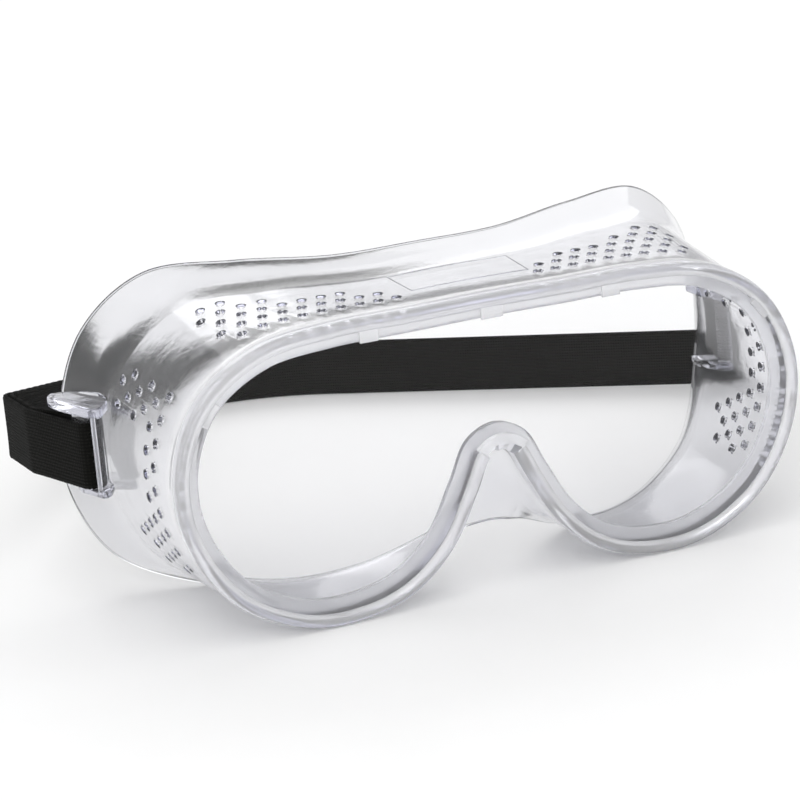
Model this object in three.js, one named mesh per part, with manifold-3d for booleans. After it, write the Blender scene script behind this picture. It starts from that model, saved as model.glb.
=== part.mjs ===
// Direct-vent safety goggles: a clear soft PVC frame moulding, a flat clear lens held in its groove, and a
// black elastic headband looped through two moulded lugs, doubled back through a slide adjuster.
// Millimetres. +X is the viewer's right when facing the lens, +Y runs back towards the wearer, +Z is up.
// The origin is the middle of the footprint, on the surface that the goggles stand on.
import * as THREE from "three";
import { mergeVertices } from "three/addons/utils/BufferGeometryUtils.js";
import Module from "manifold-3d";

const wasm = await Module();
wasm.setup();

// ---- Driving dimensions -------------------------------------------------------------------------
// While it is modelled, y = 0 is the lens seat and z = 0 is the lowest point of the viewing opening.
// Half of the opening's edge (x, z) and of the face flange's edge (x, y, z), from the top centre down the
// side and in to the nose. Entries with the same place in the two lists face each other.
const OPENING_HALF = [
  [0, 54.5], [18, 54.3], [36, 54.2], [51.2, 52.2], [62.9, 44.5], [68.1, 32], [66.8, 19.6],
  [59.4, 7.6], [46.5, 0.5], [34.6, 0], [25, 3], [17.2, 9.8], [11.6, 19.5], [6.8, 28.2], [0, 31.1],
];
const FLANGE_HALF = [
  [0, 34, 65.4], [20, 35.6, 65.2], [41, 41, 66.6], [61, 46, 66.2], [75, 51, 54.5], [81, 55, 35],
  [80.4, 56, 16.5], [73.4, 51, 1.8], [58.5, 41, -5.2], [41, 31.5, -7], [25, 24, -4.2], [12.5, 15.5, 1.8],
  [6.5, 10, 4.4], [3.2, 8, 5.6], [0, 7.4, 6],
];
const STATIONS = 4 * (2 * OPENING_HALF.length - 2); // sections round the frame, four to each point
const REST_Z = -6.2; // the soft rim and flange are flat where they meet the table

const RIM_DEPTH = 5.6; // from the opening's edge out to the wall's outer face
const WALL = 2.0; // wall thickness next to the rim
const CREASE_WALL = 1.7; // wall thickness where the flange begins
const FLANGE_EDGE = 1.0; // thickness of the flange's soft edge
const CREASE_AT = 0.76; // share of the wall's depth at which the flange begins
const CREASE_INSET = 0.07; // how far the crease lies inside a straight wall, as a share of its depth
const FIT_GAP = 0.3; // clearance between pieces that touch

const LENS_THICKNESS = 2.0;
const LENS_FRONT_Y = -3.4;
const LENS_MARGIN = 3.6; // from the opening's edge out to the lens's edge
const SEAT_FRONT_Y = LENS_FRONT_Y + LENS_THICKNESS + FIT_GAP;
const SEAT_BACK_Y = 0.8;
const LIP_REACH = 2.6; // from the opening's edge out to the edge of the front lip

const VENT_RADIUS = 0.95;
const VENT_PITCH = 4.2; // along the wall
const VENT_ROW_PITCH = 4.6; // back from the rim
// Groups of vents: the place of the first column along the rim from the top centre, the first row's
// distance back from the rim, and the rows in each column.
const VENT_GROUPS = [
  { start: 16.5, firstRow: 6.5, rows: [2, 2, 3, 3, 3, 4, 4, 5, 5] },
  { start: 67, firstRow: 9.5, rows: [6, 6, 2, 2, 2, 2] },
  { start: 92, firstRow: 9.5, rows: [4, 5, 4] },
];

const LUG_Z = 30; // height of the strap lugs' middle
const LUG_FRONT = new THREE.Vector2(79.1, 32.7); // plan (x, y) of the lug plate's outer face, front
const ALONG_LUG = new THREE.Vector2(6.6, 21).normalize(); // the way back along that face, on the +X side
const LUG_PLATE = 2.4; // thickness of the plate that the headband bears on
const LUG_TOP = 11.2; // from the lug's middle up
const LUG_BOTTOM = 9.4; // and down
const LUG_ARM = 2.6; // height of the arm above the strap slot
const LUG_FOOT = 1.6; // height of the lower arm
const SLOT_START = 2.2; // from the plate's front edge back to the slot
const SLOT_LENGTH = 2.1;
const BAR_START = SLOT_START + SLOT_LENGTH;
const REAR_BAR = 5.2; // length of the bar behind the slot, which the headband is looped round

const BAND_WIDTH = 15;
const BAND_THICKNESS = 1.2;
const BAND_LAYER_GAP = 0.35;
const SWING_Y = 52.5; // the headband tilts about a line through both lugs at this depth
const SWING_RADIUS = BAND_WIDTH / 2;

const SLIDER_LENGTH = 9;
const SLIDER_HEIGHT = 20;
const SLIDER_BAR = 1.6;
const SLIDER_PLACE = 70; // from the headband's left-hand crease to the slider's middle

const PVC = { color: 0xe6e8ea, roughness: 0.12, metalness: 0, transparent: true, opacity: 0.4 };
const POLYCARBONATE = { color: 0xf4f6f7, roughness: 0.03, metalness: 0, transparent: true, opacity: 0.2 };
const ELASTIC = { color: 0x21221c, roughness: 0.9, metalness: 0 };
const BLACK_PLASTIC = { color: 0x17181a, roughness: 0.4, metalness: 0 };

// ---- Geometry helpers ---------------------------------------------------------------------------
function solid(geometry) {
  const plain = geometry.clone();
  for (const name of Object.keys(plain.attributes)) {
    if (name !== "position") plain.deleteAttribute(name);
  }
  const merged = mergeVertices(plain, 1e-4);
  const triVerts = new Uint32Array(merged.index.array);
  const vertProperties = new Float32Array(merged.attributes.position.array);
  return new wasm.Manifold(new wasm.Mesh({ numProp: 3, vertProperties, triVerts }));
}

function geometryOf(manifold) {
  const mesh = manifold.getMesh();
  const geometry = new THREE.BufferGeometry();
  geometry.setAttribute("position", new THREE.BufferAttribute(mesh.vertProperties, 3));
  geometry.setIndex(new THREE.BufferAttribute(mesh.triVerts, 1));
  geometry.computeVertexNormals();
  return geometry;
}

// Turns a closed surface whose faces point inwards the right way round.
function facingOut(geometry) {
  const position = geometry.attributes.position;
  const index = geometry.index.array;
  const corner = (i) => new THREE.Vector3().fromBufferAttribute(position, index[i]);
  let volume = 0;
  for (let i = 0; i < index.length; i += 3) {
    volume += corner(i).dot(corner(i + 1).cross(corner(i + 2)));
  }
  if (volume < 0) index.reverse();
  return geometry;
}

// A skin over a row of sections with equally many points. An open row is capped, so its sections are
// convex.
function loft(sections, closed) {
  const sides = sections[0].length;
  const count = sections.length;
  const index = [];
  for (let i = 0; i < (closed ? count : count - 1); i++) {
    for (let j = 0; j < sides; j++) {
      const next = ((i + 1) % count) * sides;
      const a = i * sides + j;
      const b = i * sides + ((j + 1) % sides);
      const c = next + ((j + 1) % sides);
      const d = next + j;
      index.push(a, b, d, b, c, d);
    }
  }
  if (!closed) {
    const last = (count - 1) * sides;
    for (let j = 1; j < sides - 1; j++) index.push(0, j + 1, j, last, last + j, last + j + 1);
  }
  const geometry = new THREE.BufferGeometry();
  const positions = new Float32Array(sections.flat().flatMap((point) => point.toArray()));
  geometry.setAttribute("position", new THREE.BufferAttribute(positions, 3));
  geometry.setIndex(index);
  return facingOut(geometry);
}

// A flat outline in plan (x, y), extruded upwards from z = low to z = high.
function planPrism(outline, low, high) {
  const shape = new THREE.Shape(outline);
  const geometry = new THREE.ExtrudeGeometry(shape, { depth: high - low, bevelEnabled: false });
  return geometry.translate(0, 0, low);
}

// Mirrors a half list about x = 0 into a closed list that starts at the top centre.
function mirrored(half) {
  const middle = half.slice(1, -1).reverse();
  return [...half, ...middle.map((point) => new THREE.Vector3(-point.x, point.y, point.z))];
}

// ---- The wall, from the rim back to the flange's edge -------------------------------------------
const openingCurve = new THREE.CatmullRomCurve3(
  mirrored(OPENING_HALF.map(([x, z]) => new THREE.Vector3(x, 0, z))), true, "centripetal");
const flangeCurve = new THREE.CatmullRomCurve3(
  mirrored(FLANGE_HALF.map(([x, y, z]) => new THREE.Vector3(x, y, z))), true, "centripetal");
openingCurve.arcLengthDivisions = 800;
const openingLength = openingCurve.getLength();

// Everything about the wall at parameter t: the opening's edge, its outward normal, and the way back.
function stationAt(t) {
  const edge = openingCurve.getPoint(t);
  const along = openingCurve.getTangent(t);
  const outward = new THREE.Vector3(along.z, 0, -along.x).negate();
  const back = new THREE.Vector3(0, 1, 0);
  const base = edge.clone().addScaledVector(outward, RIM_DEPTH).setY(SEAT_BACK_Y);
  const flange = flangeCurve.getPoint(t);
  const run = flange.clone().sub(base);
  const depth = run.length();
  const crease = base.clone()
    .addScaledVector(run, CREASE_AT)
    .addScaledVector(outward, -CREASE_INSET * depth);
  const inward = new THREE.Vector3()
    .addScaledVector(outward, -run.dot(back))
    .addScaledVector(back, run.dot(outward))
    .normalize();
  return { edge, outward, base, crease, flange, inward };
}

// The middle of the wall `depth` millimetres behind the rim, and its normal, for cutting the vents.
function wallMiddle(t, depth) {
  const { base, crease, inward } = stationAt(t);
  const share = depth / crease.distanceTo(base);
  const point = base.clone().lerp(crease, share).addScaledVector(inward, WALL / 2);
  return { point, inward };
}

// The frame's section: lens seat, groove, front lip, outer bead, wall, flange, and back inside.
function frameSection(t) {
  const { edge, outward, base, crease, flange, inward } = stationAt(t);
  const rim = (out, y) => edge.clone().addScaledVector(outward, out).setY(y);
  const grooveBottom = LENS_MARGIN + FIT_GAP;
  const grooveFront = LENS_FRONT_Y - FIT_GAP;
  return [
    rim(0, SEAT_FRONT_Y),
    rim(grooveBottom, SEAT_FRONT_Y),
    rim(grooveBottom, grooveFront),
    rim(LIP_REACH, grooveFront),
    rim(LIP_REACH + 0.3, grooveFront - 0.7),
    rim(LIP_REACH + 1.4, grooveFront - 1.3),
    rim(RIM_DEPTH - 0.3, grooveFront - 1.0),
    rim(RIM_DEPTH + 0.3, grooveFront + 0.4),
    rim(RIM_DEPTH + 0.3, SEAT_BACK_Y - 1.6),
    base,
    crease,
    flange,
    flange.clone().addScaledVector(inward, FLANGE_EDGE),
    crease.clone().addScaledVector(inward, CREASE_WALL),
    base.clone().addScaledVector(inward, WALL),
    rim(0.2, SEAT_BACK_Y),
  ];
}

// ---- Cutters and features of the frame ----------------------------------------------------------
function ventCutter(t, depth) {
  const { point, inward } = wallMiddle(t, depth);
  const cutter = new THREE.CylinderGeometry(VENT_RADIUS, VENT_RADIUS, 4 * WALL, 6);
  cutter.applyQuaternion(new THREE.Quaternion().setFromUnitVectors(new THREE.Vector3(0, 1, 0), inward));
  return cutter.translate(point.x, point.y, point.z);
}

function ventCutters() {
  const cutters = [];
  for (const { start, firstRow, rows } of VENT_GROUPS) {
    rows.forEach((count, column) => {
      for (let row = 0; row < count; row++) {
        const stagger = row % 2 ? VENT_PITCH / 2 : 0;
        const place = start + column * VENT_PITCH + stagger;
        const depth = firstRow + row * VENT_ROW_PITCH;
        for (const share of [place / openingLength, 1 - place / openingLength]) {
          cutters.push(ventCutter(openingCurve.getUtoTmapping(share), depth));
        }
      }
    });
  }
  return cutters;
}

// Rounded tabs moulded on the front lip, which reach in over the lens's edge.
const LENS_TABS = [
  { place: 0, width: 5.2 },
  { place: 28.5, width: 4.4 },
  { place: 66, width: 5 },
  { place: 0.5, ofHalf: true, width: 13 },
];

function lensTab(t, width) {
  const { edge, outward } = stationAt(t);
  const tip = edge.clone().addScaledVector(outward, -0.2);
  const tab = new THREE.BoxGeometry(width, 1.2, LIP_REACH + 1.4);
  tab.translate(0, LENS_FRONT_Y - FIT_GAP - 0.6, (LIP_REACH + 1.4) / 2);
  tab.rotateY(Math.atan2(outward.x, outward.z));
  return tab.translate(tip.x, 0, tip.z);
}

function lensTabs() {
  return LENS_TABS.flatMap(({ place, ofHalf, width }) => {
    const share = ofHalf ? 0.5 : place / openingLength;
    const shares = place === 0 || ofHalf ? [share] : [share, 1 - share];
    return shares.map((one) => lensTab(openingCurve.getUtoTmapping(one), width));
  });
}

// A point at a lug: `run` back along the plate's outer face and `inset` from it towards the wall.
function besideLug(side, run, inset, z) {
  const x = LUG_FRONT.x + ALONG_LUG.x * run - ALONG_LUG.y * inset;
  const y = LUG_FRONT.y + ALONG_LUG.y * run + ALONG_LUG.x * inset;
  return new THREE.Vector3(side * x, y, z);
}

// A lug on one temple (side = -1 or 1): a slotted plate for the headband, on two arms that grow out of
// the wall.
function lugParts(side) {
  const plan = (run, inset) => {
    const { x, y } = besideLug(side, run, inset, 0);
    return new THREE.Vector2(x, y);
  };
  const low = LUG_Z - LUG_BOTTOM;
  const high = LUG_Z + LUG_TOP;
  const bar = (from, to) =>
    planPrism([
      plan(from, 0.5), plan(from + 0.5, 0), plan(to - 0.5, 0), plan(to, 0.5),
      plan(to, LUG_PLATE - 0.5), plan(to - 0.5, LUG_PLATE),
      plan(from + 0.5, LUG_PLATE), plan(from, LUG_PLATE - 0.5),
    ], low + 0.4, high - 0.6);
  const ear = planPrism([
    plan(-0.2, 1.1), plan(0.5, 0.1), plan(4, -0.4), plan(14, -0.6), plan(18.6, 0.2), plan(20, 2),
    plan(19, 4.4), plan(15, 8), plan(10, 9.8), plan(6, 8.6), plan(2.4, 4.6), plan(0.2, 2.4),
  ], high - LUG_ARM, high);
  const foot = planPrism([
    plan(-0.2, 1.1), plan(0.5, 0.1), plan(8, -0.2), plan(10.4, 0.4), plan(11.6, 3), plan(12.4, 9),
    plan(7, 8.6), plan(2.4, 4.6), plan(0.2, 2.4),
  ], low, low + LUG_FOOT);
  return [bar(0, SLOT_START), bar(BAR_START, BAR_START + REAR_BAR), ear, foot];
}

function frameGeometry() {
  const sections = [];
  for (let i = 0; i < STATIONS; i++) sections.push(frameSection(i / STATIONS));
  let frame = solid(loft(sections, true));
  for (const part of [...lugParts(-1), ...lugParts(1), ...lensTabs()]) frame = frame.add(solid(part));
  for (const cutter of ventCutters()) frame = frame.subtract(solid(cutter));
  const below = new THREE.BoxGeometry(300, 300, 20).translate(0, 0, REST_Z - 10);
  return geometryOf(frame.subtract(solid(below)));
}

// ---- The lens -----------------------------------------------------------------------------------
function lensGeometry() {
  const outline = [];
  for (let i = 0; i < STATIONS; i++) {
    const { edge, outward } = stationAt(i / STATIONS);
    const point = edge.clone().addScaledVector(outward, LENS_MARGIN);
    outline.push(new THREE.Vector2(point.x, point.z));
  }
  const settings = { depth: LENS_THICKNESS, bevelEnabled: false };
  const plate = new THREE.ExtrudeGeometry(new THREE.Shape(outline), settings);
  plate.rotateX(Math.PI / 2);
  return plate.translate(0, LENS_FRONT_Y + LENS_THICKNESS, 0);
}

// ---- The headband -------------------------------------------------------------------------------
// The line of the webbing's middle as corners, each rounded with its own radius.
const BAND_CORNERS = [
  { x: -87.4, y: 57, z: 29.8 },
  { x: -87.4, y: 76, z: 28.8, radius: 4 },
  { x: -23, y: 183, z: 1.5, radius: 22 },
  { x: 14, y: 178, z: 1.4, radius: 60 },
  { x: 122.5, y: 101.5, z: 1.8, radius: 8 },
  { x: 90.2, y: 66, z: 25.5, radius: 30 },
  { x: 87.7, y: 57, z: 29 },
];
const ROUNDING_STEPS = 7;
const STRAIGHT_STEP = 12;
const TAIL_LENGTH = 114; // of the free end, behind the left-hand lug
const SEWN_LENGTH = 24; // of the end sewn down behind the right-hand lug

const toVector = ({ x, y, z }) => new THREE.Vector3(x, y, z);

// Straight runs between the corners, with a curve at each corner that has a radius.
function roundedRoute(corners) {
  const route = [toVector(corners[0])];
  const goStraightTo = (end) => {
    const start = route.at(-1);
    const steps = Math.ceil(start.distanceTo(end) / STRAIGHT_STEP);
    for (let i = 1; i <= steps; i++) route.push(start.clone().lerp(end, i / steps));
  };
  for (let i = 1; i < corners.length - 1; i++) {
    const corner = toVector(corners[i]);
    const before = toVector(corners[i - 1]).sub(corner).normalize();
    const after = toVector(corners[i + 1]).sub(corner).normalize();
    const setback = corners[i].radius / Math.tan(before.angleTo(after) / 2);
    const start = corner.clone().addScaledVector(before, setback);
    const end = corner.clone().addScaledVector(after, setback);
    goStraightTo(start);
    route.push(...new THREE.QuadraticBezierCurve3(start, corner, end).getPoints(ROUNDING_STEPS).slice(1));
  }
  goStraightTo(toVector(corners.at(-1)));
  return route;
}

// Unit vector along the route at point i, halfway between the stretches before and after it.
function heading(route, i) {
  const next = Math.min(i + 1, route.length - 1);
  const last = Math.max(i - 1, 0);
  const after = route[next].clone().sub(route[next - 1]).normalize();
  const before = route[last + 1].clone().sub(route[last]).normalize();
  return after.add(before).normalize();
}

// Unit vector in plan, at a right angle to a direction, on its left.
const leftOf = (direction) => new THREE.Vector3(-direction.y, direction.x, 0).normalize();

// Sections of webbing on edge along a route. `layer` shifts them to the left of it, and halfWidthAt gives
// half the webbing's width at a point.
function webbingSections(route, layer = 0, halfWidthAt = () => BAND_WIDTH / 2) {
  return route.map((point, i) => {
    const along = heading(route, i);
    const across = leftOf(along);
    const up = along.cross(across).setLength(halfWidthAt(point));
    const middle = point.clone().addScaledVector(across, layer);
    across.multiplyScalar(BAND_THICKNESS / 2);
    return [
      middle.clone().add(across).sub(up), middle.clone().sub(across).sub(up),
      middle.clone().sub(across).add(up), middle.clone().add(across).add(up),
    ];
  });
}

const OUTER_INSET = -FIT_GAP - BAND_THICKNESS / 2;
const INNER_INSET = LUG_PLATE + FIT_GAP + BAND_THICKNESS / 2;

// The end of the band that is wrapped round a lug's rear bar. It is hollowed where the band's round end
// turns.
function bandLoop(side) {
  const route = [
    besideLug(side, 19.2, INNER_INSET - 0.6, LUG_Z),
    besideLug(side, BAR_START + 4, INNER_INSET, LUG_Z),
    besideLug(side, BAR_START, INNER_INSET, LUG_Z),
    besideLug(side, BAR_START - 0.9, INNER_INSET - 0.8, LUG_Z),
    besideLug(side, BAR_START - 1.1, LUG_PLATE / 2, LUG_Z),
    besideLug(side, BAR_START - 0.9, OUTER_INSET + 0.8, LUG_Z),
    besideLug(side, BAR_START, OUTER_INSET, LUG_Z),
    besideLug(side, BAR_START + 9.2, OUTER_INSET, LUG_Z),
  ];
  const room = new THREE.CylinderGeometry(SWING_RADIUS + FIT_GAP, SWING_RADIUS + FIT_GAP, 12, 32);
  const outside = side * (LUG_FRONT.x + 9.8);
  room.rotateZ(Math.PI / 2).translate(outside, SWING_Y, LUG_Z);
  return geometryOf(solid(loft(webbingSections(route), false)).subtract(solid(room)));
}

// The round end of the band that starts at a lug, up to the hinge line, as points with their half widths.
function roundEnd(side) {
  const points = [];
  for (let i = 0; i <= 6; i++) {
    const angle = (i / 6) * (Math.PI / 2);
    const y = SWING_Y - SWING_RADIUS * Math.cos(angle);
    const run = (y - LUG_FRONT.y - ALONG_LUG.x * OUTER_INSET) / ALONG_LUG.y;
    const point = besideLug(side, run, OUTER_INSET, LUG_Z);
    points.push({ point, half: Math.max(SWING_RADIUS * Math.sin(angle), 0.4) });
  }
  return points;
}

const bandRoute = roundedRoute(BAND_CORNERS);

function headbandGeometry() {
  const left = roundEnd(-1);
  const right = roundEnd(1).reverse();
  const route = [...left.map((end) => end.point), ...bandRoute, ...right.map((end) => end.point)];
  const halves = new Map([...left, ...right].map((end) => [end.point, end.half]));
  return loft(webbingSections(route, 0, (point) => halves.get(point) ?? BAND_WIDTH / 2), false);
}

// The second layer: inside the first, on the part of the route that is within `reach` of one end of it.
const LAYER_OFFSET = -(BAND_THICKNESS + BAND_LAYER_GAP);

function secondLayer(end, reach) {
  const sections = webbingSections(bandRoute, LAYER_OFFSET);
  return loft(sections.filter((_, i) => bandRoute[i].distanceTo(end) < reach), false);
}

// ---- The slide adjuster: a ring with a middle bar, so that both layers run between its bars ------
function sliderGeometry() {
  const outerFace = BAND_THICKNESS / 2 + FIT_GAP + SLIDER_BAR;
  const innerFace = LAYER_OFFSET - BAND_THICKNESS / 2 - FIT_GAP - SLIDER_BAR;
  const railHeight = SLIDER_HEIGHT / 2 - BAND_WIDTH / 2 - 2 * FIT_GAP;
  const box = (length, from, to, low, high, x = 0) => {
    const block = new THREE.BoxGeometry(length, to - from, high - low);
    return solid(block.translate(x, (from + to) / 2, (low + high) / 2));
  };
  const top = SLIDER_HEIGHT / 2;
  const endBar = (x) => box(SLIDER_BAR * 1.2, outerFace - SLIDER_BAR, outerFace, -top, top, x);
  const endPlace = SLIDER_LENGTH / 2 - SLIDER_BAR * 0.6;
  return geometryOf(
    box(SLIDER_LENGTH, innerFace, outerFace, top - railHeight, top)
      .add(box(SLIDER_LENGTH, innerFace, outerFace, -top, railHeight - top))
      .add(endBar(endPlace))
      .add(endBar(-endPlace))
      .add(box(SLIDER_BAR * 1.4, innerFace, innerFace + SLIDER_BAR, -top, top)));
}

// ---- The assembly -------------------------------------------------------------------------------
const goggles = new THREE.Group();

function addPiece(name, geometry, material) {
  const piece = new THREE.Mesh(geometry, new THREE.MeshStandardMaterial(material));
  piece.name = name;
  goggles.add(piece);
  return piece;
}

addPiece("frame", frameGeometry(), PVC);
addPiece("lens", lensGeometry(), POLYCARBONATE);
addPiece("headband", headbandGeometry(), ELASTIC);
addPiece("headband_tail", secondLayer(bandRoute[0], TAIL_LENGTH), ELASTIC);
addPiece("headband_sewn_end", secondLayer(bandRoute.at(-1), SEWN_LENGTH), ELASTIC);
addPiece("headband_loop_left", bandLoop(-1), ELASTIC);
addPiece("headband_loop_right", bandLoop(1), ELASTIC);

const slider = addPiece("strap_slider", sliderGeometry(), BLACK_PLASTIC);
const crease = toVector(BAND_CORNERS[1]);
const runDirection = toVector(BAND_CORNERS[2]).sub(crease).normalize();
const runSide = leftOf(runDirection);
const runUp = new THREE.Vector3().crossVectors(runDirection, runSide);
slider.position.copy(crease).addScaledVector(runDirection, SLIDER_PLACE);
slider.quaternion.setFromRotationMatrix(new THREE.Matrix4().makeBasis(runDirection, runSide, runUp));

// The origin goes to the middle of the footprint.
const extent = new THREE.Box3().setFromObject(goggles);
goggles.position.set(-(extent.min.x + extent.max.x) / 2, -(extent.min.y + extent.max.y) / 2, -extent.min.z);

export default goggles;
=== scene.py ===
"""The looks of a pair of clear direct-vent safety goggles with a black elastic headband.

Sizes are in millimetres until a mesh is made. Inside the frame's own sections, y = 0 is the back of the lens
and z = 0 is the lowest point of the viewing opening; to_row() moves such a point into the CAD model's frame.
"""

import math

import bmesh
import bpy
import numpy as np
from mathutils import Matrix, Vector


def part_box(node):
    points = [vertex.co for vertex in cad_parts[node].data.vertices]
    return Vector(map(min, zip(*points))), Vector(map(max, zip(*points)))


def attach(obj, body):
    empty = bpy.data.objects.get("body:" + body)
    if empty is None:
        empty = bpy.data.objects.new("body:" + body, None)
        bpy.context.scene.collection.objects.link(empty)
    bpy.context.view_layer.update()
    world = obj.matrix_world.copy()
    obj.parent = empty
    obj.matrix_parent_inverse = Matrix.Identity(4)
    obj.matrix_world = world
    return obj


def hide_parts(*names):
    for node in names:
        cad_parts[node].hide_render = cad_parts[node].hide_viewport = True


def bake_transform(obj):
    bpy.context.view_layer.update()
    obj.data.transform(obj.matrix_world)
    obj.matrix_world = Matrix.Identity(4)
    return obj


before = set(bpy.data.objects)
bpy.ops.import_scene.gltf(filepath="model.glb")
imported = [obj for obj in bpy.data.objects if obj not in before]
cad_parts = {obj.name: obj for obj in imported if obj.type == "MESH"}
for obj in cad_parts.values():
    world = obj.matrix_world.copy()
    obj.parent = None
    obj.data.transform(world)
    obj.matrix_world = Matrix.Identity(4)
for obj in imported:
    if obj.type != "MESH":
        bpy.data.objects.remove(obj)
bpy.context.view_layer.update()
MM = 0.001

# ---- Driving dimensions -------------------------------------------------------------------------
# Half of the viewing opening's outline, (x, z), from the top centre down to the nose.
OPENING_HALF = [
    (0, 54.5), (18, 54.3), (36, 54.2), (51.2, 52.2), (62.9, 44.5), (68.1, 32), (66.8, 19.6),
    (59.4, 7.6), (46.5, 0.5), (34.6, 0), (25, 3), (17.2, 9.8), (11.6, 19.5), (6.8, 28.2), (0, 31.1),
]
# The same for the edge of the face flange, (x, y, z).
FLANGE_HALF = [
    (0, 34, 65.4), (20, 35.6, 65.2), (41, 41, 66.6), (61, 46, 66.2), (75, 51, 54.5), (81, 55, 35),
    (80.4, 56, 16.5), (73.4, 51, 1.8), (58.5, 41, -5.2), (41, 31.5, -7), (25, 24, -4.2), (12.5, 15.5, 1.8),
    (6.5, 10, 4.4), (3.2, 8, 5.6), (0, 7.4, 6),
]
STEPS = 12  # stations between two of those points
REST_Z = -6.2
RIM_DEPTH = 5.6
WALL = 2.0
CREASE_WALL = 1.7
FLANGE_EDGE = 1.0
CREASE_AT = 0.76  # where the wall creases into the flange, as a share of the way back
CREASE_INSET = 0.07  # how far in the crease lies, as a share of that way
CREASE_RADIUS = 4.4
FIT_GAP = 0.3
LENS_THICKNESS = 2.0
LENS_FRONT = -3.4
LENS_MARGIN = 3.6
SEAT_FRONT = LENS_FRONT + LENS_THICKNESS + FIT_GAP
SEAT_BACK = 0.8
LIP_REACH = 2.6
LIP_CREST = LIP_REACH + 1.4
LIP_THICKNESS = 1.3
RIM_BULGE = 0.3
GROOVE_FRONT = LENS_FRONT - FIT_GAP

# The sections' origin in the CAD model's frame.
FRONT_OF_FRAME = GROOVE_FRONT - LIP_THICKNESS
frame_low, frame_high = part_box("frame")
ORIGIN = np.array([(frame_low.x + frame_high.x) / 2 / MM, frame_low.y / MM - FRONT_OF_FRAME, -REST_Z])


def to_row(points):
    return (np.asarray(points, float) + ORIGIN) * MM


def row_y(y):
    return to_row((0, y, 0))[1]


# ---- Curves -------------------------------------------------------------------------------------
def mirrored(half):
    """A half list, from the top centre down one side, closed by its mirror image about x = 0."""
    half = np.array(half, float)
    other = half[1:-1][::-1].copy()
    other[:, 0] *= -1
    return np.vstack([half, other])


def closed_curve(points, steps):
    """Points and tangents of a closed centripetal Catmull-Rom curve."""
    count = len(points)
    places, tangents = [], []
    for i in range(count):
        p0, p1, p2, p3 = (points[(i + k) % count] for k in (-1, 0, 1, 2))
        d0, d1, d2 = (math.sqrt(np.linalg.norm(b - a)) for a, b in ((p0, p1), (p1, p2), (p2, p3)))
        t1 = ((p1 - p0) / d0 - (p2 - p0) / (d0 + d1) + (p2 - p1) / d1) * d1
        t2 = ((p2 - p1) / d1 - (p3 - p1) / (d1 + d2) + (p3 - p2) / d2) * d1
        c2 = -3 * p1 + 3 * p2 - 2 * t1 - t2
        c3 = 2 * p1 - 2 * p2 + t1 + t2
        for k in range(steps):
            s = k / steps
            places.append(p1 + t1 * s + c2 * s * s + c3 * s ** 3)
            tangents.append(t1 + 2 * c2 * s + 3 * c3 * s * s)
    return np.array(places), np.array(tangents)


def unit(vectors):
    return vectors / np.linalg.norm(vectors, axis=-1, keepdims=True)


def bend(start, corner, end, share):
    """A point on the curve from start to end that is drawn towards the corner."""
    return (1 - share) ** 2 * start + 2 * share * (1 - share) * corner + share * share * end


def rounded(corners, radii, steps=4):
    """A polyline per station, (stations, corners, 3), with each corner turned into a curve."""
    count = corners.shape[1]
    out = []
    for i in range(count):
        here = corners[:, i]
        if radii[i] == 0:
            out.append(here)
            continue
        ends = []
        for neighbour in (corners[:, i - 1], corners[:, (i + 1) % count]):
            reach = np.linalg.norm(neighbour - here, axis=1, keepdims=True)
            ends.append(here + unit(neighbour - here) * np.minimum(radii[i], 0.45 * reach))
        out += [bend(ends[0], here, ends[1], k / steps) for k in range(steps + 1)]
    return np.stack(out, axis=1)


# ---- Meshes -------------------------------------------------------------------------------------
def new_object(name, vertices, faces, smooth_angle=35):
    mesh = bpy.data.meshes.new(name)
    mesh.from_pydata([tuple(map(float, v)) for v in vertices], [], [tuple(map(int, f)) for f in faces])
    mesh.update()
    piece = bpy.data.objects.new(name, mesh)
    bpy.context.scene.collection.objects.link(piece)
    face_out(piece)
    shade(piece, smooth_angle)
    return piece


def face_out(piece):
    work = bmesh.new()
    work.from_mesh(piece.data)
    bmesh.ops.recalc_face_normals(work, faces=work.faces)
    if work.calc_volume(signed=True) < 0:
        bmesh.ops.reverse_faces(work, faces=work.faces)
    work.to_mesh(piece.data)
    work.free()


def shade(piece, angle):
    piece.data.shade_smooth()
    piece.data.set_sharp_from_angle(angle=math.radians(angle))


def circle(centre, across, other, radius, sides):
    turns = [2 * math.pi * k / sides for k in range(sides)]
    return [centre + (across * math.cos(turn) + other * math.sin(turn)) * radius for turn in turns]


def skin_faces(rows, sides, closed, first=0):
    """The faces of a skin over rows of points, of which the first point is vertex `first`."""
    faces = []
    for i in range(rows if closed else rows - 1):
        a, b = first + i * sides, first + ((i + 1) % rows) * sides
        for j in range(sides):
            k = (j + 1) % sides
            faces.append((a + j, a + k, b + k, b + j))
    if not closed:
        faces.append(tuple(range(first, first + sides)))
        faces.append(tuple(range(first + (rows - 1) * sides, first + rows * sides)))
    return faces


def loft(name, sections, closed, smooth_angle=35):
    """A skin over sections (stations, points, 3) in the sections' frame. An open row is capped."""
    rows, sides = sections.shape[:2]
    return new_object(name, to_row(sections.reshape(-1, 3)), skin_faces(rows, sides, closed), smooth_angle)


def modify(piece, kind, **settings):
    """Applies one modifier to the piece's mesh."""
    modifier = piece.modifiers.new(kind.lower(), kind)
    for key, value in settings.items():
        setattr(modifier, key, value)
    graph = bpy.context.evaluated_depsgraph_get()
    mesh = bpy.data.meshes.new_from_object(piece.evaluated_get(graph))
    old = piece.data
    piece.modifiers.clear()
    piece.data = mesh
    bpy.data.meshes.remove(old)


def soften(piece, width, angle):
    """Rounds the edges at which the piece turns by more than the angle."""
    modify(piece, "BEVEL", width=width * MM, segments=3, limit_method="ANGLE",
           angle_limit=math.radians(angle))


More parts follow.
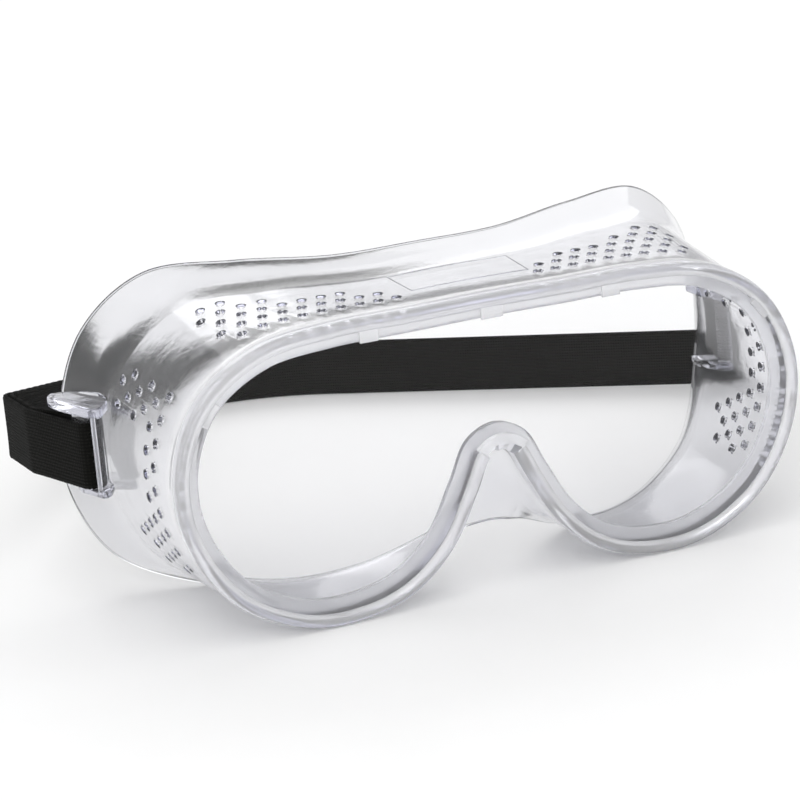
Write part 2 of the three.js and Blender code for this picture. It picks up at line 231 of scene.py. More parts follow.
def combine(piece, others, operation):
    """Joins the others to the piece, or cuts them out of it, and removes them."""
    for other in others:
        modify(piece, "BOOLEAN", operation=operation, object=other, solver="MANIFOLD")
        mesh = other.data
        bpy.data.objects.remove(other)
        bpy.data.meshes.remove(mesh)


# ---- The frame moulding: rim, wall, face flange, vents, lugs and lens tabs ----------------------
def wall_stations():
    """Points on the frame's edges, and its outward and inward directions, at each of its sections."""
    opening, along = closed_curve(mirrored(OPENING_HALF), STEPS)
    flange, _ = closed_curve(mirrored(FLANGE_HALF), STEPS)
    flat = np.zeros(len(opening))
    edge = np.column_stack([opening[:, 0], flat, opening[:, 1]])
    outward = unit(np.column_stack([-along[:, 1], flat, along[:, 0]]))
    base = edge + outward * RIM_DEPTH
    base[:, 1] = SEAT_BACK
    run = flange - base
    depth = np.linalg.norm(run, axis=1, keepdims=True)
    crease = base + run * CREASE_AT - outward * CREASE_INSET * depth
    back = np.array([[0.0, 1.0, 0.0]])
    inward = unit(-outward * run[:, 1:2] + back * (run * outward).sum(1, keepdims=True))
    return dict(edge=edge, outward=outward, base=base, crease=crease, flange=flange, inward=inward)


def edge_steps(stations):
    """The distance from each station to the next along the opening's edge."""
    edge = stations["edge"]
    return np.linalg.norm(np.roll(edge, -1, axis=0) - edge, axis=1)


def at_length(stations, length):
    """The stations' values `length` millimetres along the opening's edge from the top centre."""
    steps = edge_steps(stations)
    so_far = np.concatenate([[0], np.cumsum(steps)])
    length = length % so_far[-1]
    i = int(np.searchsorted(so_far, length, side="right")) - 1
    share = (length - so_far[i]) / steps[i]
    j = (i + 1) % len(steps)
    return {key: values[i] * (1 - share) + values[j] * share for key, values in stations.items()}


def rim_point(s, out, y):
    """A point `out` from the opening's edge, at the depth y."""
    point = s["edge"] + s["outward"] * out
    point[..., 1] = y
    return point


def frame_sections(s):
    """The frame's closed section at each station: lens seat, groove, lip, wall and flange."""
    groove = LENS_MARGIN + FIT_GAP
    base_in = s["base"] + s["inward"] * WALL
    crease_in = s["crease"] + s["inward"] * CREASE_WALL
    corners = [  # each with its radius
        (rim_point(s, 0, SEAT_FRONT), 0.3),
        (rim_point(s, groove, SEAT_FRONT), 0.2),
        (rim_point(s, groove, GROOVE_FRONT), 0.2),
        (rim_point(s, LIP_REACH, GROOVE_FRONT), 0.2),
        (rim_point(s, LIP_REACH + 0.3, GROOVE_FRONT - 0.7), 0.5),
        (rim_point(s, LIP_CREST, GROOVE_FRONT - LIP_THICKNESS), 0.8),
        (rim_point(s, RIM_DEPTH - 0.3, GROOVE_FRONT - 1.0), 0.8),
        (rim_point(s, RIM_DEPTH + RIM_BULGE, GROOVE_FRONT + 0.4), 0.9),
        (rim_point(s, RIM_DEPTH + RIM_BULGE, SEAT_BACK - 1.6), 0.9),
        (s["base"], 1.0),
        (s["base"] * 0.7 + s["crease"] * 0.3, 0),
        (s["base"] * 0.4 + s["crease"] * 0.6, 0),
        (s["crease"], CREASE_RADIUS),
        (s["flange"], 0.35),
        (s["flange"] + s["inward"] * FLANGE_EDGE, 0.35),
        (crease_in, CREASE_RADIUS),
        (base_in * 0.4 + crease_in * 0.6, 0),
        (base_in * 0.7 + crease_in * 0.3, 0),
        (base_in, 1.5),
        (rim_point(s, 0.2, SEAT_BACK), 0.4),
    ]
    sections = rounded(np.stack([c[0] for c in corners], axis=1), [c[1] for c in corners])
    sections[..., 2] = np.maximum(sections[..., 2], REST_Z)
    return sections


# Groups of vents: the first column's place along the rim from the top centre, the first row's distance back
# from the rim, and the rows in each column.
VENT_GROUPS = [
    (16.5, 6.5, (2, 2, 3, 3, 3, 4, 4, 5, 5)),
    (67, 9.5, (6, 6, 2, 2, 2, 2)),
    (92, 9.5, (4, 5, 4)),
]
VENT_RADIUS = 0.95
VENT_FLARE = 0.25  # how far a hole's mouth widens
VENT_PITCH = 4.2
VENT_ROW_PITCH = 4.6
VENT_SIDES = 14


def vent_places():
    """Each vent's place along the rim, and its distance back from it. Every other row is shifted."""
    for start, first_row, rows in VENT_GROUPS:
        for column, count in enumerate(rows):
            for row in range(count):
                place = start + (column + 0.5 * (row % 2)) * VENT_PITCH
                for side in (1, -1):
                    yield side * place, first_row + row * VENT_ROW_PITCH


def vent_cutters(stations):
    """One mesh of pins with flared ends, which cut holes with softened edges through the wall."""
    half = WALL / 2
    profile = [
        (-half - VENT_FLARE, VENT_RADIUS + 2 * VENT_FLARE), (-half + VENT_FLARE, VENT_RADIUS),
        (half - VENT_FLARE, VENT_RADIUS), (half + VENT_FLARE, VENT_RADIUS + 2 * VENT_FLARE),
    ]
    vertices, faces = [], []
    for place, depth in vent_places():
        s = at_length(stations, place)
        share = depth / np.linalg.norm(s["crease"] - s["base"])
        axis = unit(s["inward"])
        centre = s["base"] * (1 - share) + s["crease"] * share + axis * WALL / 2
        across = unit(np.cross(axis, s["outward"] + 0.01))
        other = np.cross(axis, across)
        faces += skin_faces(len(profile), VENT_SIDES, False, len(vertices))
        for height, radius in profile:
            vertices += circle(centre + axis * height, across, other, radius, VENT_SIDES)
    return new_object("vent_cutters", to_row(vertices), faces)


def prism(name, outline, low, high, bevel):
    """A plan outline (x, y), extruded from z = low to z = high, with rounded edges."""
    count = len(outline)
    vertices = [(x, y, z) for z in (low, high) for x, y in outline]
    faces = [tuple(range(count)), tuple(range(count, 2 * count))]
    faces += [(k, (k + 1) % count, count + (k + 1) % count, count + k) for k in range(count)]
    piece = new_object(name, to_row(vertices), faces)
    soften(piece, bevel, 25)
    return piece


# The strap lugs. Each is a post and a bar with the strap's slot between them, on a foot and under an ear.
# LUG_FRONT is the front of the plate's outer face, (x, y), and ALONG_LUG the way back along it.
LUG_Z = 30.0
LUG_FRONT = np.array([79.1, 32.7])
ALONG_LUG = unit(np.array([6.6, 21.0]))
LUG_PLATE = 1.5
LUG_TOP = 11.2
LUG_BOTTOM = 9.4
LUG_ARM = 2.6
LUG_FOOT = 1.6
SLOT_START = 2.2
BAR_START = 4.3
BAR_END = 9.5


def beside_lug(side, run, inset, z=None):
    """A point at a lug: `run` back along its plate's outer face, and `inset` from it towards the wall."""
    x = LUG_FRONT[0] + ALONG_LUG[0] * run - ALONG_LUG[1] * inset
    y = LUG_FRONT[1] + ALONG_LUG[1] * run + ALONG_LUG[0] * inset
    return (side * x, y) if z is None else np.array([side * x, y, z])


def lug_parts(side):
    low, high = LUG_Z - LUG_BOTTOM, LUG_Z + LUG_TOP

    def part(name, outline, bottom, top, bevel):
        return prism(name, [beside_lug(side, *point) for point in outline], bottom, top, bevel)

    def bar(name, outline):
        return part(name, outline, low + 0.4, high - 0.6, 0.55)

    ear = [(-0.2, 1.1), (0.5, 0.1), (4, -0.4), (14, -0.6), (18.6, 0.2), (20, 2),
           (19, 4.4), (15, 8), (10, 9.8), (6, 8.6), (2.4, 4.6), (0.2, 2.4)]
    foot = [(-0.2, 1.1), (0.5, 0.1), (8, -0.2), (10.4, 0.4), (11.6, 3), (12.4, 9),
            (7, 8.6), (2.4, 4.6), (0.2, 2.4)]
    return [
        bar("post", [(0, 0), (SLOT_START, 0), (SLOT_START, 3.6), (1.0, 2.6)]),
        bar("bar", [(BAR_START, 0), (BAR_END, 0), (BAR_END, LUG_PLATE), (BAR_START, LUG_PLATE)]),
        part("foot", foot, low, low + LUG_FOOT, 0.5),
        part("ear", ear, high - LUG_ARM, high, 1.0),
    ]


# Tabs on the front lip that hold the lens: the place along the rim, the width, and how far short of the
# opening's edge the tab stops.
LENS_TABS = [(0, 5.2, 0.3), (28.5, 4.4, 0.3), (-28.5, 4.4, 0.3), (66, 5.0, 1.5), (-66, 5.0, 1.5)]
TAB_HEIGHT = 0.65
TAB_BEVEL = 0.3
NOSE_TAB = (8.5, 1.7, 4.4, 1.5)  # half its length, where it starts and ends, and its height
NOSE_SLOT = [(3.8, -5.6), (6.4, -5.6), (6.4, -1.7), (3.8, -1.7)]  # out from the opening's edge, and y
NOSE_SLOT_PLACE = 5.0  # to either side of the nose
NOSE_SLOT_HALF = 2.5


def rim_arc(name, stations, middle, half_length, corners):
    """A bar that follows the rim round the place `middle`. Corners are (out from the opening's edge, y)."""
    count = 18
    rows = []
    for k in range(count + 1):
        s = at_length(stations, middle + half_length * (2 * k / count - 1))
        rows.append([rim_point(s, out, y) for out, y in corners])
    return loft(name, np.array(rows), closed=False)


def rim_tab(name, stations, place, half_length, start, end, height):
    """A soft-edged tab on the front lip, from `start` to `end` out from the opening's edge."""
    front, back = GROOVE_FRONT - height, GROOVE_FRONT
    corners = [(start, back), (end, back), (end, front), (start, front)]
    tab = rim_arc(name, stations, place, half_length, corners)
    soften(tab, TAB_BEVEL, 50)
    return tab


def nose_slots(stations, nose):
    """Two short slots from the outside of the rim into the lens groove, either side of the nose."""
    return [rim_arc("nose_slot", stations, nose + side * NOSE_SLOT_PLACE, NOSE_SLOT_HALF, NOSE_SLOT)
            for side in (-1, 1)]


PANEL = ((-12.0, 8.5), (15.0, 8.5), (15.0, 21.0), (-12.0, 21.0))  # along the rim, and back from it
PANEL_STEPS = 8  # on each side
PANEL_LINE = 0.22  # half the line's width
PANEL_ROOT = 0.5
PANEL_RAISED = 0.16


def blank_panel(stations):
    """The raised outline of an empty panel on the top wall."""
    rows = []
    for k, (place, depth) in enumerate(PANEL):
        next_place, next_depth = PANEL[(k + 1) % len(PANEL)]
        for step in range(PANEL_STEPS):
            share = step / PANEL_STEPS
            s = at_length(stations, place + (next_place - place) * share)
            back = (depth + (next_depth - depth) * share) / np.linalg.norm(s["crease"] - s["base"])
            rows.append((s["base"] * (1 - back) + s["crease"] * back, unit(s["inward"])))
    sections = []
    for i, (point, inward) in enumerate(rows):
        ahead = rows[(i + 1) % len(rows)][0] - rows[i - 1][0]
        across = unit(np.cross(ahead, inward)) * PANEL_LINE
        root, top = inward * PANEL_ROOT, inward * PANEL_RAISED
        sections.append([point - across + root, point + across + root,
                         point + across * 0.6 - top, point - across * 0.6 - top])
    return loft("blank_panel", np.array(sections), closed=True)


def make_frame():
    stations = wall_stations()
    moulding = loft("frame_moulding", frame_sections(stations), closed=True)
    nose = edge_steps(stations).sum() / 2
    parts = lug_parts(-1) + lug_parts(1)
    parts += [rim_tab("lens_tab", stations, place, width / 2, short, LIP_CREST, TAB_HEIGHT)
              for place, width, short in LENS_TABS]
    parts += [rim_tab("nose_tab", stations, nose, *NOSE_TAB), blank_panel(stations)]
    combine(moulding, parts, "UNION")
    combine(moulding, [vent_cutters(stations)] + nose_slots(stations, nose), "DIFFERENCE")
    shade(moulding, 28)
    return moulding


# ---- The lens -----------------------------------------------------------------------------------
def make_lens():
    s = wall_stations()
    corners = [
        (rim_point(s, LENS_MARGIN - 2, LENS_FRONT), 0),
        (rim_point(s, LENS_MARGIN, LENS_FRONT), 0.25),
        (rim_point(s, LENS_MARGIN, LENS_FRONT + LENS_THICKNESS), 0.25),
        (rim_point(s, LENS_MARGIN - 2, LENS_FRONT + LENS_THICKNESS), 0),
    ]
    rings = rounded(np.stack([c[0] for c in corners], axis=1), [c[1] for c in corners], 2)
    rows, sides = rings.shape[:2]
    faces = []
    for i in range(rows):
        a, b = i * sides, ((i + 1) % rows) * sides
        faces += [(a + j, a + j + 1, b + j + 1, b + j) for j in range(sides - 1)]
    faces.append(tuple(range(0, rows * sides, sides)))
    faces.append(tuple(range(sides - 1, rows * sides, sides)))
    return new_object("lens_sheet", to_row(rings.reshape(-1, 3)), faces, 40)


# ---- The headband -------------------------------------------------------------------------------
BAND_WIDTH = 15.0
BAND_THICKNESS = 1.2
LAYER_OFFSET = -1.55  # from the middle of the outer layer to that of the inner
# The outer layer's corners from the left-hand lug round to the right-hand one, (x, y, z, radius).
BAND_CORNERS = [
    (-87.4, 57, 29.8, 0), (-87.4, 76, 28.8, 4), (-23, 183, 1.5, 22), (14, 178, 1.4, 60),
    (122.5, 101.5, 1.8, 8), (90.2, 66, 25.5, 30), (87.7, 57, 29, 0),
]
TAIL_REACH = 114.0  # how far from the left-hand lug the inner layer goes
SEWN_REACH = 24.0  # and from the right-hand lug
# The strip's middle on the two sides of a lug's bar, from the plate's outer face towards the wall.
OUTER_INSET = -0.9
INNER_INSET = 2.4
# The spacing, in millimetres, of the points along the strip.
BAND_STEP = 0.5
BAND_ACROSS = 22  # faces across the strip
CORNER_STEPS = 12
SCALLOP = 0.12  # the height of the waves on the strip's edges
SCALLOP_PITCH = 1.1
THIN_EDGE = (0.93, 0.07)  # where the strip starts to thin and over how much, as shares of its half width


def rounded_route(corners):
    """Straight runs between the corners, with a curve at each corner that has a radius."""
    points = np.array([c[:3] for c in corners], float)
    route = [points[0]]
    for i in range(1, len(corners) - 1):
        before = unit(points[i - 1] - points[i])
        after = unit(points[i + 1] - points[i])
        setback = corners[i][3] / math.tan(math.acos(float(before @ after)) / 2)
        start, end = points[i] + before * setback, points[i] + after * setback
        route += [bend(start, points[i], end, k / CORNER_STEPS) for k in range(CORNER_STEPS + 1)]
    route.append(points[-1])
    return np.array(route)


def resampled(route, step):
    """The route with points at an even spacing, and the length along it at each."""
    legs = np.linalg.norm(np.diff(route, axis=0), axis=1)
    so_far = np.concatenate([[0], np.cumsum(legs)])
    count = max(2, int(round(so_far[-1] / step)) + 1)
    lengths = np.linspace(0, so_far[-1], count)
    return np.column_stack([np.interp(lengths, so_far, route[:, k]) for k in range(3)]), lengths


def smoothed(route, rounds):
    route = route.copy()
    for _ in range(rounds):
        route[1:-1] = 0.25 * route[:-2] + 0.5 * route[1:-1] + 0.25 * route[2:]
    return route


def strip_axes(route):
    """Unit vectors at each point of a strip on edge: across its thickness (level), and across its width."""
    along = unit(np.vstack([route[1:], route[-1:]]) - np.vstack([route[:1], route[:-1]]))
    level = unit(np.column_stack([-along[:, 1], along[:, 0], np.zeros(len(route))]))
    return level, np.cross(along, level)


def outer_layer():
    """The strip's route from lug to lug, without its turns round them."""
    return resampled(rounded_route(BAND_CORNERS), BAND_STEP)[0]


def webbing_route():
    """The whole strip: free end, left-hand side, left lug, back of the head, right lug, and sewn end."""
    main = outer_layer()
    inner = main + strip_axes(main)[0] * LAYER_OFFSET
    tail = inner[np.linalg.norm(main - main[0], axis=1) < TAIL_REACH]
    sewn = inner[np.linalg.norm(main - main[-1], axis=1) < SEWN_REACH]

    def lug_turn(side):
        insets = [
            (18.0, INNER_INSET - 0.3), (14.0, INNER_INSET), (BAR_START + 1.5, INNER_INSET),
            (BAR_START - 0.2, INNER_INSET - 0.1), (BAR_START - 0.95, INNER_INSET - 1.0),
            (BAR_START - 1.15, LUG_PLATE / 2), (BAR_START - 0.95, OUTER_INSET + 1.0),
            (BAR_START - 0.2, OUTER_INSET + 0.1), (BAR_START + 1.5, OUTER_INSET), (20.5, OUTER_INSET),
        ]
        return np.array([beside_lug(side, run, inset, LUG_Z) for run, inset in insets])

    return np.vstack([tail[::-1], lug_turn(-1), main, lug_turn(1)[::-1], sewn[::-1]])


def make_webbing():
    route, lengths = resampled(webbing_route(), BAND_STEP)
    route = smoothed(route, 3)
    level, up = strip_axes(route)
    shares = [k / BAND_ACROSS - 0.5 for k in range(BAND_ACROSS + 1)]
    ring = [(-0.5, share) for share in shares] + [(0.5, share) for share in reversed(shares)]
    sections, coords = [], []
    for i in range(len(route)):
        scallop = SCALLOP * math.sin(2 * math.pi * lengths[i] / SCALLOP_PITCH)
        row = []
        for out, across in ring:
            edge = abs(2 * across)
            thick = BAND_THICKNESS * (1 - 0.45 * max(0.0, edge - THIN_EDGE[0]) / THIN_EDGE[1])
            width = BAND_WIDTH - 0.15 + 2 * scallop * (edge > 0.97)
            row.append(route[i] + level[i] * out * thick + up[i] * across * width)
            coords.append((lengths[i], across * BAND_WIDTH))
        sections.append(row)
    band = loft("elastic_webbing", np.array(sections), closed=False, smooth_angle=50)
    add_strip_map(band, coords)
    return band


def add_strip_map(piece, coords):
    """A UV map in centimetres: along the strip, and across it."""
    layer = piece.data.uv_layers.new(name="Strip")
    coords = np.array(coords) / 10
    for loop in piece.data.loops:
        layer.data[loop.index].uv = coords[loop.vertex_index]


STITCH_LINES = (12.0, 15.5, 19.0)  # from the outer layer's right-hand end
STITCHES = 6  # across the band
STITCH_PITCH = 2.3
STITCH_LENGTH = 1.9
THREAD_RADIUS = 0.24
THREAD_CREST = 0.12  # how high a stitch's middle stands on the band
THREAD_DIP = 0.22  # how far its ends go down from there


def make_stitches():
    """Lines of stitches through both layers of the sewn end, on its outer and inner faces."""
    main = outer_layer()
    level, up = strip_axes(main)
    from_end = np.linalg.norm(main - main[-1], axis=1)
    outer_face = BAND_THICKNESS / 2
    inner_face = LAYER_OFFSET - BAND_THICKNESS / 2
    rows, sides = 7, 8
    vertices, faces = [], []
    for line in STITCH_LINES:
        i = int(np.argmin(abs(from_end - line)))
        along = np.cross(level[i], up[i])
        for face, outwards in ((outer_face, 1), (inner_face, -1)):
            for stitch in range(STITCHES):
                across = (stitch - (STITCHES - 1) / 2) * STITCH_PITCH
                faces += skin_faces(rows, sides, False, len(vertices))
                for row in range(rows):
                    share = 2 * row / (rows - 1) - 1
                    radius = THREAD_RADIUS * math.sqrt(1.05 - share * share)
                    height = face + outwards * (THREAD_CREST - THREAD_DIP * share * share)
                    middle = main[i] + up[i] * (across + share * STITCH_LENGTH / 2) + level[i] * height
                    vertices += circle(middle, level[i], along, radius, sides)
    return new_object("sewing_thread", to_row(vertices), faces, 60)


# ---- The slide adjuster -------------------------------------------------------------------------
SLIDER_LENGTH = 9.0
SLIDER_HEIGHT = 20.0
SLIDER_BAR = 1.6
SLIDER_PLACE = 70.0  # from the band's first bend behind the left-hand lug


def make_slider():
    """A ring with a middle bar on its inner side, bevelled all round."""
    crease = np.array(BAND_CORNERS[1][:3], float)
    along = unit(np.array(BAND_CORNERS[2][:3], float) - crease)
    level = unit(np.array([-along[1], along[0], 0.0]))
    axes = np.array([along, level, np.cross(along, level)])
    middle = crease + along * SLIDER_PLACE

    def slab(low, high):
        xs, ys, zs = zip(low, high)
        corners = [(x, y, z) for x in xs for y in ys for z in zs]
        faces = [(0, 1, 3, 2), (4, 5, 7, 6), (0, 1, 5, 4), (2, 3, 7, 6), (0, 2, 6, 4), (1, 3, 7, 5)]
        return new_object("slider_slab", to_row(middle + np.array(corners) @ axes), faces)

    outer = BAND_THICKNESS / 2 + FIT_GAP + SLIDER_BAR
    inner = LAYER_OFFSET - BAND_THICKNESS / 2 - FIT_GAP - SLIDER_BAR
    top, end = SLIDER_HEIGHT / 2, SLIDER_LENGTH / 2
    rail = BAND_WIDTH / 2 + 2 * FIT_GAP
    ring = slab((-end, inner, rail), (end, outer, top))
    ring.name = "slide_buckle"
    combine(ring, [
        slab((-end, inner, -top), (end, outer, -rail)),
        slab((-end, outer - SLIDER_BAR, -top), (-end + SLIDER_BAR * 1.2, outer, top)),
        slab((end - SLIDER_BAR * 1.2, outer - SLIDER_BAR, -top), (end, outer, top)),
        slab((-SLIDER_BAR * 0.7, inner, -top), (SLIDER_BAR * 0.7, inner + SLIDER_BAR, top)),
    ], "UNION")
    soften(ring, 0.45, 30)
    shade(ring, 35)
    return ring


# ---- Materials ----------------------------------------------------------------------------------
class Nodes:
    """A short way to write a material's nodes."""

    def __init__(self, name):
        self.material = bpy.data.materials.new(name)
        self.material.use_nodes = True
        self.tree = self.material.node_tree
        self.shader = self.tree.nodes["Principled BSDF"]

    def fill(self, socket, value):
        """Links another node's output to the socket, or sets a constant on it."""
        if isinstance(value, bpy.types.NodeSocket):
            self.tree.links.new(value, socket)
        else:
            socket.default_value = value

    def add(self, kind, inputs=None, **settings):
        node = self.tree.nodes.new(kind)
        for key, value in settings.items():
            setattr(node, key, value)
        for key, value in (inputs or {}).items():
            self.fill(node.inputs[key], value)
        return node

    def set(self, **values):
        """Fills the shader's own sockets. In their names _ stands for a space."""
        for key, value in values.items():
            self.fill(self.shader.inputs[key.replace("_", " ")], value)

    def place(self):
        """The place on the piece, in metres."""
        return self.add("ShaderNodeTexCoord").outputs["Object"]

    def noise(self, place, scale, detail=2.0):
        inputs = {"Vector": place, "Scale": scale, "Detail": detail}
        return self.add("ShaderNodeTexNoise", inputs).outputs["Fac"]

    def maths(self, operation, *values):
        return self.add("ShaderNodeMath", dict(enumerate(values)), operation=operation).outputs[0]

    def ranged(self, value, low, high, start=0.0, end=1.0):
        """The value, with start to end stretched to low to high."""
        inputs = {"Value": value, "From Min": start, "From Max": end, "To Min": low, "To Max": high}
        return self.add("ShaderNodeMapRange", inputs).outputs["Result"]

    def between(self, share, low, high):
        """A colour between two others."""
        node = self.add("ShaderNodeMix", {"Factor": share}, data_type="RGBA")
        node.inputs[6].default_value = (*low, 1)
        node.inputs[7].default_value = (*high, 1)
        return node.outputs[2]

    def bump(self, height, strength, distance):
        inputs = {"Height": height, "Strength": strength, "Distance": distance}
        return self.add("ShaderNodeBump", inputs).outputs["Normal"]


ABSORPTION = (0.79, 0.80, 0.96, 1)
MILKY_RIM = (0.975, 0.977, 0.985)
GREY_WALL = (0.865, 0.867, 0.885)
RIM_ENDS = (0.5, 4)  # the stretch, in y, in which the rim's look turns into the wall's
WARP_PER_CM = 13.0
WEFT_PER_CM = 15.0


def clear_plastic(name, density, roughness, ior, bump, specular):
    """What both clear plastics share. Returns the nodes, the place on the piece, and a rippled value."""
    n = Nodes(name)
    place = n.place()
    ripple = n.noise(place, 90.0)
    grain = n.noise(place, 700.0, 3.0)
    height = n.maths("MULTIPLY_ADD", grain, 0.12, ripple)
    n.set(Roughness=n.ranged(grain, roughness * 0.6, roughness * 1.6), Normal=n.bump(height, bump, 0.001),
          IOR=ior, Specular_IOR_Level=specular)
    absorb = n.add("ShaderNodeVolumeAbsorption", {"Color": ABSORPTION, "Density": density})
    n.fill(n.tree.nodes["Material Output"].inputs["Volume"], absorb.outputs["Volume"])
    return n, place, ripple


def clear_pvc():
    """Soft clear PVC: milky in the thick rim, and clearer and greyer in the thin walls."""
    n, place, ripple = clear_plastic("clear_pvc", density=45.0, roughness=0.08, ior=1.46, bump=0.07,
                                     specular=0.3)
    depth = n.add("ShaderNodeSeparateXYZ", {"Vector": place}).outputs["Y"]
    behind_rim = n.ranged(depth, 0.0, 1.0, row_y(RIM_ENDS[0]), row_y(RIM_ENDS[1]))
    clarity = n.ranged(behind_rim, 0.70, 0.97)
    tint = n.between(behind_rim, MILKY_RIM, GREY_WALL)
    cloud = n.ranged(ripple, 0.97, 1.03)
    colour = n.add("ShaderNodeVectorMath", {0: tint, 1: cloud}, operation="MULTIPLY").outputs[0]
    n.set(Base_Color=colour, Transmission_Weight=clarity)
    return n.material


def clear_polycarbonate():
    """Clear and almost colourless, with a low index so that the lens hardly shows."""
    n, _, ripple = clear_plastic("clear_polycarbonate", density=6.0, roughness=0.01, ior=1.2, bump=0.0,
                                 specular=0.1)
    colour = n.between(ripple, (0.98, 0.98, 0.985), (0.99, 0.99, 0.995))
    n.set(Base_Color=colour, Transmission_Weight=1.0)
    return n.material


def elastic_weave():
    """Woven black elastic, with warp ribs along the strip and weft threads across them."""
    n = Nodes("elastic_weave")
    strip = n.add("ShaderNodeUVMap", uv_map="Strip").outputs["UV"]
    parts = n.add("ShaderNodeSeparateXYZ", {"Vector": strip})

    def wave(value, per_centimetre):
        raised = n.maths("SINE", n.maths("MULTIPLY", value, 2 * math.pi * per_centimetre))
        return n.ranged(raised, 0.0, 1.0, -1.0, 1.0)

    warp = wave(parts.outputs["Y"], WARP_PER_CM)
    weft = wave(parts.outputs["X"], WEFT_PER_CM)
    rib = n.maths("MULTIPLY_ADD", warp, 0.7, n.maths("MULTIPLY", warp, weft))
    height = n.maths("MULTIPLY_ADD", n.noise(strip, 60.0, 4.0), 0.5, rib)
    share = n.ranged(height, 0.0, 1.0, 0.1, 1.9)
    colour = n.between(share, (0.0018, 0.0018, 0.0015), (0.0060, 0.0061, 0.0048))
    n.set(Base_Color=colour, Normal=n.bump(height, 0.65, 0.0003), Roughness=0.9, Sheen_Weight=0.02,
          Specular_IOR_Level=0.1)
    return n.material


def twisted_thread():
    n = Nodes("twisted_thread")
    inputs = {"Vector": n.place(), "Scale": 700.0, "Distortion": 1.0, "Detail": 2.0}
    twist = n.add("ShaderNodeTexWave", inputs, bands_direction="DIAGONAL").outputs["Fac"]
    n.set(Base_Color=n.between(twist, (0.006, 0.006, 0.006), (0.030, 0.030, 0.029)),
          Normal=n.bump(twist, 0.6, 0.0002), Roughness=0.6)
    return n.material


def moulded_black():
    n = Nodes("moulded_black")
    grain = n.noise(n.place(), 1800.0, 3.0)
    n.set(Base_Color=n.between(grain, (0.010, 0.010, 0.011), (0.020, 0.020, 0.021)),
          Roughness=n.ranged(grain, 0.35, 0.55), Normal=n.bump(grain, 0.25, 0.0002))
    return n.material


def pale_floor():
    n = Nodes("pale_floor")
    grain = n.noise(n.place(), 40.0)
    n.set(Base_Color=n.between(grain, (0.92, 0.92, 0.92), (0.94, 0.94, 0.94)), Roughness=0.9,
          Specular_IOR_Level=0.0)
    return n.material


# ---- Assembly -----------------------------------------------------------------------------------
def paint(piece, material):
    piece.data.materials.clear()
    piece.data.materials.append(material)


def assemble():
    moulding = make_frame()
    paint(moulding, clear_pvc())
    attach(moulding, "goggle_frame")
    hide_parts("frame")

    lens = make_lens()
    paint(lens, clear_polycarbonate())
    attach(lens, "goggle_frame")
    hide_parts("lens")

    band = make_webbing()
    paint(band, elastic_weave())
    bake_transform(band)
    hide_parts("headband", "headband_tail", "headband_sewn_end", "headband_loop_left",
                "headband_loop_right")

    thread = make_stitches()
    paint(thread, twisted_thread())
    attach(thread, "headband")

    buckle = make_slider()
    paint(buckle, moulded_black())
    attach(buckle, "slide_adjuster")
    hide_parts("strap_slider")


# ---- Camera, floor and light --------------------------------------------------------------------
CAMERA_AIM = Vector(to_row((-10.7, 25.6, 31.9)))
CAMERA_AZIMUTH = -22.06
CAMERA_ELEVATION = 15.79
CAMERA_ROLL = -5.01
CAMERA_DISTANCE = 0.6395
CAMERA_LENS = 129.06

# Area lights: the name, the place, what it points at, the size, and the power.
LIGHTS = [
    ("key", (-0.5, -0.6, 1.2), (0, 0, 0), (1.6, 1.6), 7.6),
    ("fill", (-0.6, -1.5, 0.5), (0, 0, 0.03), (1.8, 1.0), 9.0),
    ("back", (0.4, 1.0, 1.0), (0, 0, 0.02), (1.6, 0.8), 6.0),
]
# The world's light against the direction's y: darker in front, lighter behind.
WORLD_RAMP = {"From Min": -0.8, "From Max": 0.6, "To Min": 0.8, "To Max": 1.0}
WORLD_STRENGTH = 0.73
FLOOR_REACH = 6.0


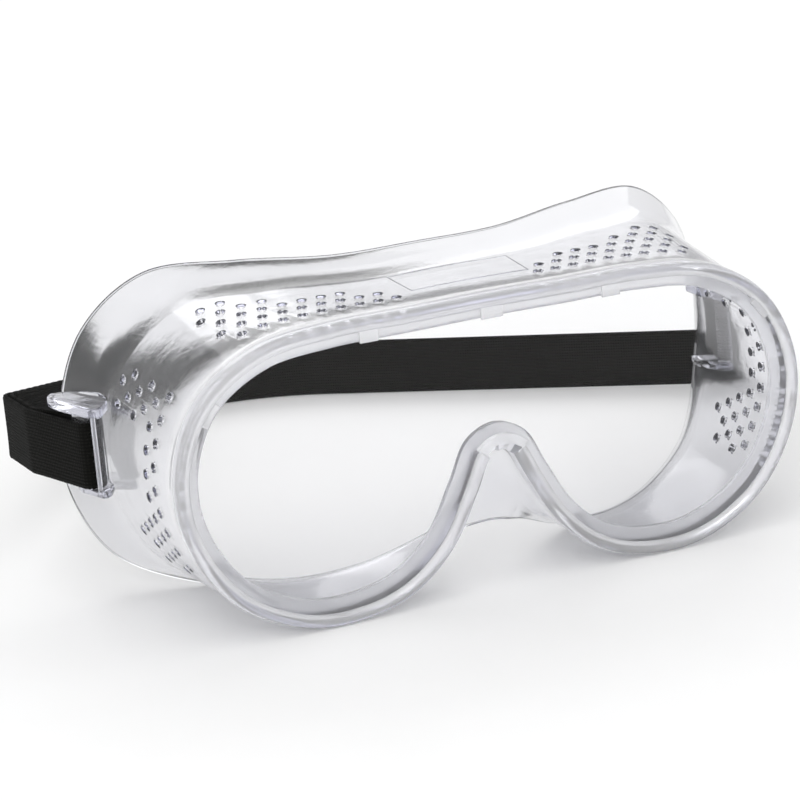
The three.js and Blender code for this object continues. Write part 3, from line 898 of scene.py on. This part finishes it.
def add_camera():
    azimuth, elevation = math.radians(CAMERA_AZIMUTH), math.radians(CAMERA_ELEVATION)
    back = Vector((math.sin(azimuth) * math.cos(elevation), -math.cos(azimuth) * math.cos(elevation),
                   math.sin(elevation)))
    right = Vector((math.cos(azimuth), math.sin(azimuth), 0))
    up = back.cross(right)
    turn = Matrix((right, up, back)).transposed() @ Matrix.Rotation(math.radians(CAMERA_ROLL), 3, "Z")
    data = bpy.data.cameras.new("camera")
    data.lens = CAMERA_LENS
    data.sensor_width = 36
    data.clip_start = 0.01
    camera = bpy.data.objects.new("camera", data)
    camera.matrix_world = Matrix.Translation(CAMERA_AIM + back * CAMERA_DISTANCE) @ turn.to_4x4()
    bpy.context.scene.collection.objects.link(camera)
    bpy.context.scene.camera = camera


def add_light(name, place, aim, size, power):
    data = bpy.data.lights.new(name, "AREA")
    data.shape = "RECTANGLE"
    data.size, data.size_y = size
    data.energy = power
    light = bpy.data.objects.new(name, data)
    light.location = place
    light.rotation_euler = (Vector(aim) - Vector(place)).to_track_quat("-Z", "Y").to_euler()
    bpy.context.scene.collection.objects.link(light)


def add_world():
    """A studio that is light behind the goggles and darker in front of them."""
    world = bpy.data.worlds.new("studio")
    world.use_nodes = True
    nodes, links = world.node_tree.nodes, world.node_tree.links
    direction = nodes.new("ShaderNodeTexCoord")
    parts = nodes.new("ShaderNodeSeparateXYZ")
    ramp = nodes.new("ShaderNodeMapRange")
    for key, value in WORLD_RAMP.items():
        ramp.inputs[key].default_value = value
    background = nodes["Background"]
    background.inputs["Strength"].default_value = WORLD_STRENGTH
    links.new(direction.outputs["Generated"], parts.inputs["Vector"])
    links.new(parts.outputs["Y"], ramp.inputs["Value"])
    links.new(ramp.outputs["Result"], background.inputs["Color"])
    bpy.context.scene.world = world


def add_stage():
    reach = FLOOR_REACH
    corners = [(-reach, -reach, 0), (reach, -reach, 0), (reach, reach, 0), (-reach, reach, 0)]
    floor = new_object("floor", corners, [(0, 1, 2, 3)])
    paint(floor, pale_floor())
    add_world()
    for light in LIGHTS:
        add_light(*light)
    bpy.context.scene.view_settings.view_transform = "Standard"


add_camera()
assemble()
add_stage()
